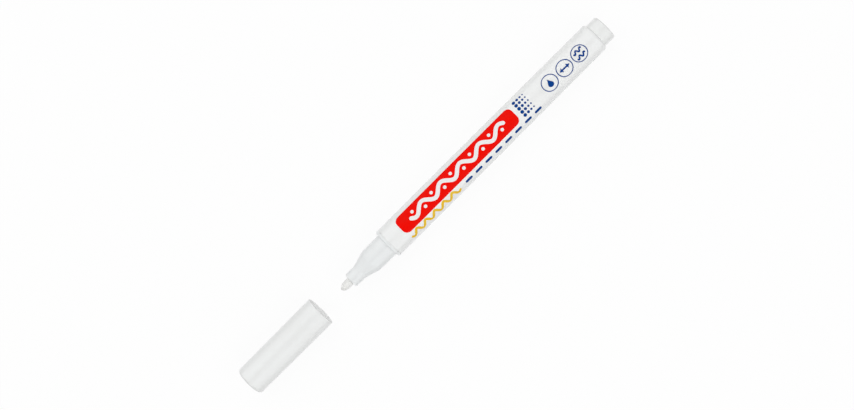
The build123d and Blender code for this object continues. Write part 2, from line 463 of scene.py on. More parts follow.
class InkFilm(Effect):
    """Printed ink: thin patches, pinholes and a slightly uneven film."""

    name = "ink_film"
    cloud = Grain(along=340.0, across=340.0, octaves=3.0)
    grain = Grain(along=6400.0, across=6400.0, octaves=2.0)
    cells = 1500.0
    pinhole_band = (0.03, 0.09)
    tone_band = (0.4, 0.75)
    thin_share = 0.6

    def fill(self) -> None:
        """Thin patches from the cloud, and pinholes at the hearts of small cells."""
        graph = self.graph
        grain = graph.noise(self.grain)
        cells = {"Vector": graph.place(self.cells, self.cells), "Scale": 1.0}
        distance = graph.add("ShaderNodeTexVoronoi", cells).outputs["Distance"]
        pinholes = graph.spread(distance, self.pinhole_band, self.given["Detail"], 0.0)
        thin = graph.spread(graph.noise(self.cloud), self.tone_band, 0.0, self.thin_share)
        tone = graph.maths("MAXIMUM", thin, pinholes)
        self.put_out(tone, grain, graph.maths("SUBTRACT", grain, pinholes))


class DrawnMetal(Effect):
    """Drawn or polished steel: fine lines along the axis and a cloudy tone."""

    name = "drawn_metal"
    cloud = Grain(along=500.0, across=500.0, octaves=2.0)
    lines = Grain(along=900.0, across=9000.0, octaves=2.0)

    def fill(self) -> None:
        """Wear and height from the lines, and tone from the cloud alone."""
        graph = self.graph
        lines = graph.noise(self.lines)
        tone = graph.spread(graph.noise(self.cloud), self.tone_band)
        self.put_out(tone, lines, graph.maths("MULTIPLY", lines, self.given["Detail"]))


class Effects(Enum):
    """The effects that finishes choose from."""

    MOULDED = MouldedSkin
    FIBRE = FibreBundle
    INK = InkFilm
    METAL = DrawnMetal

    @cache
    def group(self) -> bpy.types.NodeTree:
        """The effect's node group, made once."""
        return self.value().tree


SHADER = "Principled BSDF"


@dataclass(frozen=True)
class Finish:
    """A finish: an effect with its two colours, its range of roughness and its depth."""

    name: str
    effect: Effects
    pale: Colour
    deep: Colour
    roughness: Band
    detail: float = 0.5
    depth: float = 0.00002
    bump: float = 0.15
    metallic: float = 0.0
    gloss: float = 0.5
    sheen: float = 0.0
    soak_depth: float = 0.0
    soak_share: float = 0.0
    soak_colours: tuple[float, float, float] = (1.0, 1.0, 1.0)

    @cache
    def make(self) -> bpy.types.Material:
        """Material of this finish, made once, with its effect's group placed beside the shader.

        Returns:
            The material.
        """
        material = bpy.data.materials.new(self.name)
        material.use_nodes = True
        graph = Graph(material.node_tree)
        given = {
            "Pale": self.pale,
            "Deep": self.deep,
            "Smooth": self.roughness[0],
            "Rough": self.roughness[1],
            "Detail": self.detail,
        }
        group = graph.add("ShaderNodeGroup", given, node_tree=self.effect.group()).outputs
        relief = {"Height": group["Height"], "Strength": self.bump, "Distance": self.depth}
        surface = {
            "Base Color": group["Color"],
            "Roughness": group["Roughness"],
            "Normal": graph.add("ShaderNodeBump", relief).outputs["Normal"],
            "Metallic": self.metallic,
            "Specular IOR Level": self.gloss,
            "Sheen Weight": self.sheen,
            "Subsurface Weight": self.soak_share,
            "Subsurface Radius": self.soak_colours,
            "Subsurface Scale": self.soak_depth,
        }
        graph.feed(material.node_tree.nodes[SHADER], surface)
        return material


def white(level: float, red: float = 1.0, blue: float = 1.0) -> Colour:
    """Near-white of a brightness in linear light, with its red and blue as shares of it."""
    return (level * red, level, level * blue, 1.0)


def plastic(name: str, pale: Colour, deep: Colour, roughness: Band, **more: float) -> Finish:
    """Finish of moulded plastic or rubber, or of a smooth fill."""
    return Finish(name, Effects.MOULDED, pale, deep, roughness, **more)


def fibre(name: str, pale: Colour, deep: Colour, roughness: Band, **more: float) -> Finish:
    """Finish of bonded fibre."""
    return Finish(name, Effects.FIBRE, pale, deep, roughness, detail=0.6, depth=0.00006, gloss=0.2, **more)


def steel(name: str, pale: Colour, deep: Colour, roughness: Band, **more: float) -> Finish:
    """Finish of bare steel."""
    return Finish(name, Effects.METAL, pale, deep, roughness, metallic=1.0, **more)


def ink(name: str, pale: Colour, deep: Colour, gloss: float) -> Finish:
    """Finish of printed ink."""
    return Finish(name, Effects.INK, pale, deep, roughness=(0.4, 0.5), gloss=gloss)


# How deep light soaks into the plastics that show and into the nib, and how much of it.
SOAKED = {"soak_depth": 0.0004, "soak_share": 0.4}
SOAKED_NIB = {"soak_depth": 0.0008, "soak_share": 0.6}
BARREL_FINISH = plastic(
    "barrel_plastic", white(0.905, 0.988, 0.996), white(0.885, 0.992, 0.99), (0.22, 0.34), **SOAKED
)
NOSE_FINISH = plastic(
    "nose_plastic", white(0.87, 0.975, 1.0), white(0.85, 0.982, 1.004), (0.24, 0.36), **SOAKED
)
PLUG_FINISH = plastic(
    "plug_plastic", white(0.88, 0.986, 0.99), white(0.855, 0.99, 0.986), (0.24, 0.36), **SOAKED
)
CAP_FINISH = plastic("cap_plastic", white(0.885, 0.984, 0.994), white(0.86, 0.99, 0.99), (0.24, 0.38))
LINER_FINISH = plastic("liner_plastic", white(0.86, 0.99, 0.995), white(0.83), (0.3, 0.44))
VALVE_FINISH = plastic("valve_plastic", white(0.8, 1.015, 0.985), white(0.76, 1.02, 0.98), (0.4, 0.52))
GASKET_FINISH = plastic("gasket_rubber", white(0.03), white(0.02), (0.6, 0.75), gloss=0.3)
LIQUID_FINISH = plastic("liquid_chalk", white(0.9), white(0.88), (0.12, 0.25), detail=0.0, bump=0.05)
NIB_FINISH = fibre(
    "nib_fibre",
    white(0.89, 1.0, 0.985),
    white(0.85, 1.004, 0.975),
    (0.75, 0.95),
    bump=0.3,
    sheen=0.15,
    **SOAKED_NIB,
)
BUFFER_FINISH = fibre(
    "buffer_fibre", white(0.88, 1.006, 0.994), white(0.78, 1.01, 0.99), (0.8, 0.98), bump=0.5, sheen=0.2
)
SPRING_FINISH = steel("spring_steel", white(0.62), white(0.54), (0.2, 0.34))
BALL_FINISH = steel("ball_steel", white(0.72), white(0.68), (0.06, 0.14), detail=0.2)
RED_INK = ink("print_red", (0.94, 0.004, 0.001, 1.0), (0.88, 0.01, 0.004, 1.0), gloss=0.03)
BLUE_INK = ink("print_blue", (0.003, 0.052, 0.26, 1.0), (0.006, 0.065, 0.29, 1.0), gloss=0.03)
YELLOW_INK = ink("print_yellow", (0.88, 0.55, 0.03, 1.0), (0.88, 0.6, 0.08, 1.0), gloss=0.08)
WHITE_INK = ink("print_white", white(0.9), white(0.87, 1.01, 0.99), gloss=0.2)


def fit(piece: Piece, body: Body, finish: Finish, *nodes: str) -> None:
    """Dress a new piece in a finish, which is named as its slot is, and set it on its body.

    Args:
        piece: The new object.
        body: Body that it rides on.
        finish: Finish of the record's material slot.
        nodes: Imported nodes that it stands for.
    """
    piece.data.materials.append(finish.make())
    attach(piece, body.value)
    if nodes:
        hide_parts(*nodes)
    LOG.info("%s: %d faces on %s", piece.name, len(piece.data.polygons), body.value)


@dataclass
class Turned:
    """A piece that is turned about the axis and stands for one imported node."""

    name: ClassVar[str]
    node: ClassVar[str]
    finish: ClassVar[Finish]
    body: ClassVar[Body] = Body.MARKER
    turns: int = 192
    longest_run: float = 1.2

    def corners(self) -> list[Corner]:
        """Corners of the outline, in order."""
        raise NotImplementedError

    def outline(self) -> np.ndarray:
        """Outline as rows of (station, radius)."""
        return rounded(self.corners())

    def relief(self, station: np.ndarray, angle: np.ndarray) -> np.ndarray:
        """Height to add to the radius at a station and an angle, none on a plain piece."""
        return np.zeros(1)

    def build(self) -> Piece:
        """The outline in short runs, turned about the axis."""
        outline = refined(self.outline(), self.longest_run)
        return put_mesh(self.name, [turned(outline, self.turns, self.relief)])

    def dress(self, piece: Piece) -> None:
        """Its finish, on its body, in place of its node."""
        fit(piece, self.body, self.finish, self.node)


# The nose meets the barrel so far behind the front of the barrel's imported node, with its edges rounded.
JOINT_STATION = 0.3
JOINT_ROUND = 0.05


@dataclass
class Barrel(Turned):
    """Long tube: joint line and snap groove for the nose, straight grip, draft to the tail, rear wall."""

    name = "barrel_tube"
    node = "barrel"
    finish = BARREL_FINISH
    wall: float = 1.05
    edge: float = 0.08
    joint_gap: float = 0.22
    joint_depth: float = 0.22
    grip_length: float = 36.0
    draft: float = 0.21
    tail_round: float = 0.9
    rear_wall: float = 2.0
    rear_hole: float = 3.84
    groove_front: float = 2.95
    groove_rear: float = 4.55
    groove_step: float = 0.2
    longest_run: float = 1.6

    def radius_at(self, station: np.ndarray) -> np.ndarray:
        """Outside radius: straight along the grip, then an even draft to the tail."""
        into = np.clip((station - self.grip_length) / (BARREL_LENGTH - self.grip_length), 0, 1)
        return BARREL_RADIUS - self.draft * into

    def corners(self) -> list[Corner]:
        """Outline of the tube, from the snap groove over the front and the outside to the rear wall.

        Returns:
            The corners in order.
        """
        bore = BARREL_RADIUS - self.wall
        groove = bore + self.groove_step
        line_floor = BARREL_RADIUS - self.joint_depth
        line_rear = JOINT_STATION + self.joint_gap
        rear_face = BARREL_LENGTH - self.rear_wall
        return [
            Corner(self.groove_rear, bore),
            Corner(self.groove_rear, groove),
            Corner(self.groove_front, groove),
            Corner(self.groove_front, bore),
            Corner(JOINT_STATION, bore, self.edge),
            Corner(JOINT_STATION, line_floor),
            Corner(line_rear, line_floor),
            Corner(line_rear, BARREL_RADIUS, JOINT_ROUND),
            Corner(self.grip_length, BARREL_RADIUS),
            Corner(BARREL_LENGTH, BARREL_RADIUS - self.draft, self.tail_round),
            Corner(BARREL_LENGTH, self.rear_hole, self.edge),
            Corner(rear_face, self.rear_hole),
            Corner(rear_face, bore),
        ]


@dataclass(frozen=True)
class DishedEnd:
    """Closed end of a moulding: a shallow dish with the mark of the moulding gate in its middle."""

    radius: float
    gate_radius: float
    depth: float = 0.12
    rim_round: float = 0.15
    gate_height: float = 0.07
    gate_slope: float = 0.1
    gate_foot: float = 0.04
    gate_round: float = 0.05

    def corners(self, end: float, way: int) -> list[Corner]:
        """Outline of the end, from the dish's rim to the axis.

        Args:
            end: Station of the end face.
            way: 1 where the end faces the tail's way, -1 where it faces the other way.

        Returns:
            The corners in order.
        """
        dish = end - way * self.depth
        gate = dish + way * self.gate_height
        return [
            Corner(end, self.radius + self.depth, self.rim_round),
            Corner(dish, self.radius, self.rim_round),
            Corner(dish, self.gate_radius, self.gate_foot),
            Corner(gate, self.gate_radius - self.gate_slope, self.gate_round),
            Corner(gate, 0),
        ]


@dataclass
class TailPlug(Turned):
    """Plug that closes the tail: a hollow spigot with a barb inside the barrel, and a stub outside it."""

    name = "tail_stub"
    node = "tail_plug"
    finish = PLUG_FINISH
    radius: float = 4.76
    spigot: float = 3.81
    spigot_round: float = 0.2
    wall: float = 0.9
    end_wall: float = 1.5
    end_round: float = 0.6
    foot_round: float = 0.08
    floor_round: float = 0.3
    barb_step: float = 0.25
    barb_length: float = 1.2
    barb_setback: float = 2.05
    dish: DishedEnd = DishedEnd(radius=2.9, gate_radius=0.55)
    turns: int = 160
    longest_run: float = 1.0

    def corners(self) -> list[Corner]:
        """Outline of the plug, from the hollow inside to the dished end.

        Returns:
            The corners in order.
        """
        front, end, _ = extent(self.node)
        barb = BARREL_LENGTH - self.barb_setback
        floor = end - self.end_wall
        hollow = self.spigot - self.wall
        return [
            Corner(floor, 0),
            Corner(floor, hollow, self.floor_round),
            Corner(front, hollow),
            Corner(front, self.spigot, self.spigot_round),
            Corner(barb - self.barb_length, self.spigot),
            Corner(barb, self.spigot + self.barb_step),
            Corner(barb, self.spigot),
            Corner(BARREL_LENGTH, self.spigot),
            Corner(BARREL_LENGTH, self.radius, self.foot_round),
            Corner(end, self.radius, self.end_round),
            *self.dish.corners(end, 1),
        ]


@dataclass
class Nose(Turned):
    """Nose moulding: spigot in the barrel, flange, seat for the cap, sloped shoulder and neck."""

    name = "nose_moulding"
    node = "nose_cone"
    finish = NOSE_FINISH
    flange: float = 0.8
    flange_edge: float = 0.5
    seat_radius: float = 4.55
    seat_length: float = 8.1
    seat_draft: float = 0.15
    seat_foot: float = 0.1
    shoulder_length: float = 5.45
    shoulder_step: float = 1.57
    shoulder_round: float = 5.0
    neck_blend: float = 5.0
    neck_draft: float = 0.07
    neck_round: float = 0.25
    guide_radius: float = 1.63
    guide_edge: float = 0.12
    chamber_radius: float = 3.5
    chamber_setback: float = 0.5
    spigot_length: float = 8.0
    spigot_radius: float = 4.69
    spigot_round: float = 0.2
    bead_setback: float = 3.0
    bead_length: float = 1.5
    bead_step: float = 0.2
    seam_height: float = 0.012
    seam_width: float = 0.022
    seam_fade: float = 0.2
    turns: int = 180
    longest_run: float = 0.6

    def relief(self, station: np.ndarray, angle: np.ndarray) -> np.ndarray:
        """Faint parting ridge down both sides: a bell curve of the angle, fading in before the flange."""
        ahead = np.clip((-self.flange - self.seam_fade - station) / self.seam_fade, 0, 1)
        return self.seam_height * np.exp(-((np.cos(angle) / self.seam_width) ** 2)) * ahead

    def corners(self) -> list[Corner]:
        """Outline of the nose, from the spigot inside the barrel over the neck to the chamber.

        Returns:
            The corners in order.
        """
        front = extent(self.node)[0]
        shoulder = -self.flange - self.seat_length
        neck = shoulder - self.shoulder_length
        chamber = shoulder + self.chamber_setback
        shoulder_radius = self.seat_radius - self.seat_draft
        neck_radius = shoulder_radius - self.shoulder_step
        return [
            Corner(self.spigot_length, self.spigot_radius, self.spigot_round),
            Corner(self.bead_setback + self.bead_length, self.spigot_radius),
            Corner(self.bead_setback, self.spigot_radius + self.bead_step),
            Corner(self.bead_setback, self.spigot_radius),
            Corner(JOINT_STATION, self.spigot_radius),
            Corner(JOINT_STATION, BARREL_RADIUS, JOINT_ROUND),
            Corner(-self.flange, BARREL_RADIUS, self.flange_edge),
            Corner(-self.flange, self.seat_radius, self.seat_foot),
            Corner(shoulder, shoulder_radius, self.shoulder_round),
            Corner(neck, neck_radius, self.neck_blend),
            Corner(front, neck_radius - self.neck_draft, self.neck_round),
            Corner(front, self.guide_radius, self.guide_edge),
            Corner(chamber, self.guide_radius),
            Corner(chamber, self.chamber_radius),
            Corner(self.spigot_length, self.chamber_radius),
        ]


@dataclass
class Nib(Turned):
    """Bullet point of bonded fibre with fine flutes along it."""

    name = "nib_bullet"
    node = "nib"
    finish = NIB_FINISH
    body = Body.NIB
    point_length: float = 3.0
    point_steps: int = 28
    rear_edge: float = 0.1
    flute_count: int = 46
    flute_depth: float = 0.012
    bundle_count: int = 7
    bundle_lean: float = 0.5
    slow_drift: float = 1.3
    slow_rate: float = 0.9
    fast_drift: float = 0.8
    fast_rate: float = 2.3
    fast_count: int = 2
    turns: int = 276
    longest_run: float = 0.12

    def relief(self, station: np.ndarray, angle: np.ndarray) -> np.ndarray:
        """Fibre relief: a fast wave round the nib, whose phase drifts slowly along it, fading at the tip.

        Args:
            station: Stations in millimetres.
            angle: Angles in radians.

        Returns:
            Heights in millimetres, at or below the nib's own radius.
        """
        slow = self.slow_drift * np.sin(station * self.slow_rate)
        fast = self.fast_drift * np.sin(station * self.fast_rate + self.fast_count * angle)
        bundles = np.cos(self.bundle_count * angle + self.bundle_lean * station)
        wave = np.sin(self.flute_count * angle + slow + fast) * bundles
        fade = np.clip((station - extent(self.node)[0]) / self.point_length, 0, 1)
        return self.flute_depth * (wave - 1) * fade

    def outline(self) -> np.ndarray:
        """Outline of a rod whose point is a quarter ellipse.

        Returns:
            Rows of (station, radius).
        """
        tip, rear, radius = extent(self.node)
        base = tip + self.point_length
        rod = rounded([Corner(rear, 0), Corner(rear, radius, self.rear_edge), Corner(base, radius)])
        sweep = np.linspace(math.pi / 2, 0, self.point_steps)
        point = np.stack([base - self.point_length * np.cos(sweep), radius * np.sin(sweep)], axis=1)
        return np.concatenate([rod[:-1], point])


@dataclass
class CapPiece(Turned):
    """What the cap's two pieces share: the bore and the step in it that the liner's flange rests on."""

    body = Body.CAP
    wall: float = 1.15
    liner_step: float = 0.3
    liner_flange: float = 1.2

    def bore(self) -> float:
        """Radius of the cap's bore."""
        return BARREL_RADIUS - self.wall

    def step(self) -> float:
        """Station of the step in the bore."""
        return extent("cap_liner")[1] - self.liner_flange


@dataclass
class CapShell(CapPiece):
    """Plain cap with a slight taper, a lead-in at its mouth and a dished end."""

    name = "cap_body"
    node = "cap_shell"
    finish = CAP_FINISH
    taper_step: float = 0.2
    mouth_edge: float = 0.12
    lead_length: float = 1.6
    lead_step: float = 0.75
    lead_round: float = 0.4
    floor_round: float = 0.4
    end_round: float = 1.0
    end_wall: float = 1.4
    dish: DishedEnd = DishedEnd(radius=3.2, gate_radius=0.6)
    hollow_reach: float = 30.0
    hollow_radius: float = 5.5
    hollow_rim: Band = (0.995, 1.005)
    # Paler colour painted inside the mouth, as the light that comes through the wall.
    hollow_painted_light: Colour = (0.985, 0.99, 0.985, 1.0)

    def corners(self) -> list[Corner]:
        """Outline of the cap, from the floor of its hollow over the mouth to the dished end.

        Returns:
            The corners in order.
        """
        end, mouth, _ = extent(self.node)
        floor = end + self.end_wall
        narrow = self.bore() - self.liner_step
        return [
            Corner(floor, 0),
            Corner(floor, narrow, self.floor_round),
            Corner(self.step(), narrow),
            Corner(self.step(), self.bore()),
            Corner(mouth - self.lead_length, self.bore(), self.lead_round),
            Corner(mouth, self.bore() + self.lead_step, self.mouth_edge),
            Corner(mouth, BARREL_RADIUS, self.mouth_edge),
            Corner(end, BARREL_RADIUS - self.taper_step, self.end_round),
            *self.dish.corners(end, -1),
        ]

    def dress(self, piece: Piece) -> None:
        """White plastic, with light painted into the hollow as a paler colour, for the light that comes
        through the wall.
        """
        super().dress(piece)
        self.paint_light_in_hollow(piece.data.materials[0])

    def paint_light_in_hollow(self, material: bpy.types.Material) -> None:
        """Painted light inside the mouth: the plastic made paler there.

        An ellipsoid about the middle of the mouth marks the hollow: its half axes are the reach along the
        axis and the radius across it.

        Args:
            material: Material of the shell.
        """
        graph = Graph(material.node_tree)
        shader = material.node_tree.nodes[SHADER]
        mouth = extent(self.node)[1] + FRONT_X
        along = 1 / (self.hollow_reach * MM)
        across = 1 / (self.hollow_radius * MM)
        place = graph.place(along, across, (-mouth * MM * along, 0.0, -AXIS_HEIGHT * MM * across))
        away = graph.add("ShaderNodeVectorMath", {0: place}, operation="LENGTH").outputs["Value"]
        outside = graph.spread(away, self.hollow_rim)
        plain = shader.inputs["Base Color"].links[0].from_socket
        # Painted light: the paler colour inside the ellipsoid, the plain colour outside it.
        graph.feed(shader, {"Base Color": graph.between(outside, self.hollow_painted_light, plain)})


@dataclass
class CapLiner(CapPiece):
    """Thimble inside the cap that seals on the neck: a funnel, a sealing bore and a room for the nib."""

    name = "cap_thimble"
    node = "cap_liner"
    finish = LINER_FINISH
    gap: float = 0.03
    bottom: float = 0.9
    entry_radius: float = 3.72
    entry_round: float = 0.2
    seal_radius: float = 2.93
    tip_radius: float = 2.45
    neck_lead: float = 2.45
    neck_length: float = 4.3
    edge: float = 0.1
    soft_round: float = 0.4

    def corners(self) -> list[Corner]:
        """Outline of the liner, from the floor of the nib's room over the funnel to the closed end.

        Returns:
            The corners in order.
        """
        end, entry, _ = extent(self.node)
        floor = end + self.bottom
        flange = self.bore() - self.gap
        outside = self.bore() - self.liner_step - self.gap
        seal = entry - self.neck_lead
        room = seal - self.neck_length
        return [
            Corner(floor, 0),
            Corner(floor, self.tip_radius, self.soft_round),
            Corner(room, self.tip_radius, self.edge),
            Corner(room, self.seal_radius, self.edge),
            Corner(seal, self.seal_radius, self.soft_round),
            Corner(entry, self.entry_radius, self.entry_round),
            Corner(entry, flange, self.edge),
            Corner(self.step(), flange),
            Corner(self.step(), outside),
            Corner(end, outside, self.soft_round),
            Corner(end, 0),
        ]


@dataclass
class ValveSpring:
    """Compression spring between the stem's head and its cage, which shortens as the nib is pressed."""

    wire: float = 0.3
    turns: int = 8
    stroke: float = 2.0
    steps_a_turn: int = 48
    sides: int = 14

    def build(self) -> Piece:
        """Tube along a helix: a circle of the wire in the plane across the helix at each step.

        Returns:
            The piece.
        """
        front, rear, reach = extent("valve_spring")
        half = self.wire / 2
        coil = reach - half
        rise = rear - front - self.wire
        sweep = self.turns * 2 * math.pi
        tilt = math.atan(rise / (sweep * coil))
        share = np.linspace(0, 1, self.turns * self.steps_a_turn + 1)[:, None]
        around = np.linspace(0, 2 * math.pi, self.sides, endpoint=False)[None, :]
        up = half * np.sin(around)
        station = front + half + share * rise + up * math.cos(tilt)
        angle = share * sweep - math.pi / 2 - up * math.sin(tilt) / coil
        rings = on_axis(station, coil + half * np.cos(around), angle)
        return put_mesh("valve_coil", [tube(rings, rings[[0, -1]].mean(axis=1))])

    def dress(self, piece: Piece) -> None:
        """Steel wire on the marker, with a mesh of its own.

        Args:
            piece: The spring.
        """
        fit(piece, Body.MARKER, SPRING_FINISH, "valve_spring")
        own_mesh(piece)


@dataclass(frozen=True)
class HiddenPieces:
    """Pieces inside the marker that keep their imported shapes."""

    finishes: tuple[tuple[str, Finish], ...] = (
        ("nib_buffer", BUFFER_FINISH),
        ("valve_body", VALVE_FINISH),
        ("valve_stem", VALVE_FINISH),
        ("spring_cage", VALVE_FINISH),
        ("valve_gasket", GASKET_FINISH),
        ("mixing_ball", BALL_FINISH),
        ("liquid_chalk", LIQUID_FINISH),
    )

    def dress(self) -> None:
        """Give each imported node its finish."""
        for node, finish in self.finishes:
            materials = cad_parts[node].data.materials
            materials.clear()
            materials.append(finish.make())
            LOG.info("%s: packed node in %s", node, finish.name)


# How finely printed marks are divided: lengths in millimetres, and numbers of points.
ROW_STEP = 0.2
COLUMN_STEP = 1.0
FEWEST_COLUMNS = 5
CORNER_STEPS = 14
END_STEPS = 15
WAVE_STEPS = 50
RING_STEPS = 120
# Shares of a stroke's half width: where its round end begins, and how wide an arrow's tip is.
END_START = 0.03
BLUNT = 0.1


def ribbon(path: np.ndarray, half: np.ndarray) -> np.ndarray:
    """Grid of a stroke along a path: the path plus its normal times up to the half width each way.

    Args:
        path: Rows of (station, arc).
        half: Half width at each row.

    Returns:
        Grid of (station, arc) pairs.
    """
    way = np.gradient(path, axis=0)
    way /= np.linalg.norm(way, axis=1, keepdims=True)
    normal = np.stack([-way[:, 1], way[:, 0]], axis=1)
    across = np.linspace(-1, 1, FEWEST_COLUMNS)
    return path[:, None, :] + normal[:, None, :] * (half[:, None] * across[None, :])[..., None]


def round_ends(path: np.ndarray, half: float) -> np.ndarray:
    """Half widths of a stroke with round ends: a quarter circle over the first and last half width.

    Args:
        path: Rows of (station, arc).
        half: Half width away from the ends.

    Returns:
        Half width at each row.
    """
    steps = np.linalg.norm(np.diff(path, axis=0), axis=1)
    run = np.concatenate([[0.0], np.cumsum(steps)])
    near = np.clip(np.minimum(run, run[-1] - run) / half, END_START, 1)
    return half * np.sqrt(1 - (1 - near) ** 2)


@dataclass(frozen=True)
class Mark:
    """One printed mark, with its middle at a station and an arc. A joined mark is a ring."""

    station: float
    arc: float
    joined: ClassVar[bool] = False

    def shape(self) -> np.ndarray:
        """Grid of (station, arc) pairs about the mark's middle."""
        raise NotImplementedError

    def sheet(self) -> np.ndarray:
        """The grid in its place on the barrel."""
        return self.shape() + (self.station, self.arc)


@dataclass(frozen=True)
class Bar(Mark):
    """Bar with round corners.

    Each row across the bar is as long as the bar, less the corner arcs' inset r - sqrt(r^2 - d^2) at both
    ends, where d is how far the row lies inside the corner.
    """

    length: float
    height: float
    corner: float

    def shape(self) -> np.ndarray:
        """Rows across the bar, closer together in its corners.

        Returns:
            Grid about its middle.
        """
        flat = self.height / 2 - self.corner
        turn = flat + self.corner * np.sin(np.linspace(0, math.pi / 2, CORNER_STEPS))
        inside = np.linspace(-flat, flat, 3 + int(flat / ROW_STEP) * 2)[1:-1]
        across = np.concatenate([-turn[::-1], inside, turn])
        deep = np.clip(np.abs(across) - flat, 0, self.corner)
        half = self.length / 2 - self.corner + np.sqrt(self.corner**2 - deep**2)
        along = np.linspace(-1, 1, max(FEWEST_COLUMNS, int(self.length / COLUMN_STEP)))[:, None]
        return np.stack(np.broadcast_arrays(along * half, across[None, :]), axis=-1)


@dataclass(frozen=True)
class Dot(Mark):
    """Round dot: a square whose place (a, b) goes to a * sqrt(1 - b^2 / 2), b * sqrt(1 - a^2 / 2)."""

    radius: float
    side: ClassVar[int] = 9

    def shape(self) -> np.ndarray:
        """Square grid of so many points a side, drawn in to a circle.

        Returns:
            Grid about its middle.
        """
        places = np.linspace(-1, 1, self.side)
        a, b = np.meshgrid(places, places, indexing="ij")
        return self.radius * np.stack([a * np.sqrt(1 - b**2 / 2), b * np.sqrt(1 - a**2 / 2)], axis=-1)


@dataclass(frozen=True)
class Drop(Dot):
    """Drop that points towards +Y: a dot whose half on that side narrows to a point.

    Place (x, y) of the dot goes to x * (1 - pinch t^1.5), y - rise r t^2, where t is how far it lies in
    that half, as a share of the radius r.
    """

    pinch: float = 0.85
    rise: float = 0.9
    side: ClassVar[int] = 17

    def shape(self) -> np.ndarray:
        """Grid of the dot with one half drawn out.

        Returns:
            Grid about the dot's middle.
        """
        x, y = np.moveaxis(super().shape(), -1, 0)
        upper = np.clip(-y / self.radius, 0, 1)
        narrowed = x * (1 - self.pinch * upper**1.5)
        return np.stack([narrowed, y - self.rise * self.radius * upper**2], axis=-1)


@dataclass(frozen=True)
class Ring(Mark):
    """Closed round line: a circle between the radius less and plus half the line's width."""

    radius: float
    half: float
    joined: ClassVar[bool] = True

    def shape(self) -> np.ndarray:
        """Rows across the line, evenly round the circle.

        Returns:
            Grid about its middle.
        """
        angle = np.linspace(0, 2 * math.pi, RING_STEPS, endpoint=False)[:, None]
        size = self.radius + np.linspace(-self.half, self.half, 3)
        return np.stack([np.cos(angle) * size, np.sin(angle) * size], axis=-1)


@dataclass(frozen=True)
class Wave(Mark):
    """Wavy stroke with round ends: height * sin(2 pi s / length), where s counts from its front end."""

    reach: float
    height: float
    length: float
    half: float

    def shape(self) -> np.ndarray:
        """Ribbon along the wave, with its rows closer together at both ends.

        Returns:
            Grid about its middle.
        """
        turn = self.half * (1 - np.cos(np.linspace(0, math.pi / 2, END_STEPS)))
        inner = self.reach - self.half
        middle = np.linspace(-inner, inner, math.ceil(2 * self.reach / self.length * WAVE_STEPS))[1:-1]
        along = np.concatenate([turn - self.reach, middle, self.reach - turn[::-1]])
        height = self.height * np.sin(2 * math.pi * (along + self.reach) / self.length)
        path = np.stack([along, height], axis=1)
        return ribbon(path, round_ends(path, self.half))


@dataclass(frozen=True)
class Arrow(Mark):
    """Arrow along the axis with two heads.

    Its half width grows evenly from a blunt tip to the wing, drops to the shaft's and mirrors itself.
    """

    reach: float
    head: float
    wing: float
    half: float

    def shape(self) -> np.ndarray:
        """Ribbon from tip to tip.

        Returns:
            Grid about its middle.
        """
        neck = self.reach - self.head
        blunt = BLUNT * self.half
        along = np.array([-self.reach, -neck, blunt - neck, neck - blunt, neck, self.reach])
        widths = np.array([blunt, self.wing, self.half, self.half, self.wing, blunt])
        return ribbon(np.stack([along, np.zeros_like(along)], axis=1), widths)


@dataclass(frozen=True)
class Film:
    """One printed film: its piece's name, its ink, its marks and the thickness of what it lies over."""

    name: str
    ink: Finish
    marks: Sequence[Mark]
    over: float = 0.0


# Arcs that the rows of marks are centred on, and the stations of the round signs.
BAR_ARC = -0.97
DASH_ARC = 4.5
SIGN_ARC = 0.2
SIGN_STATIONS = (78.2, 85.3, 92.4)


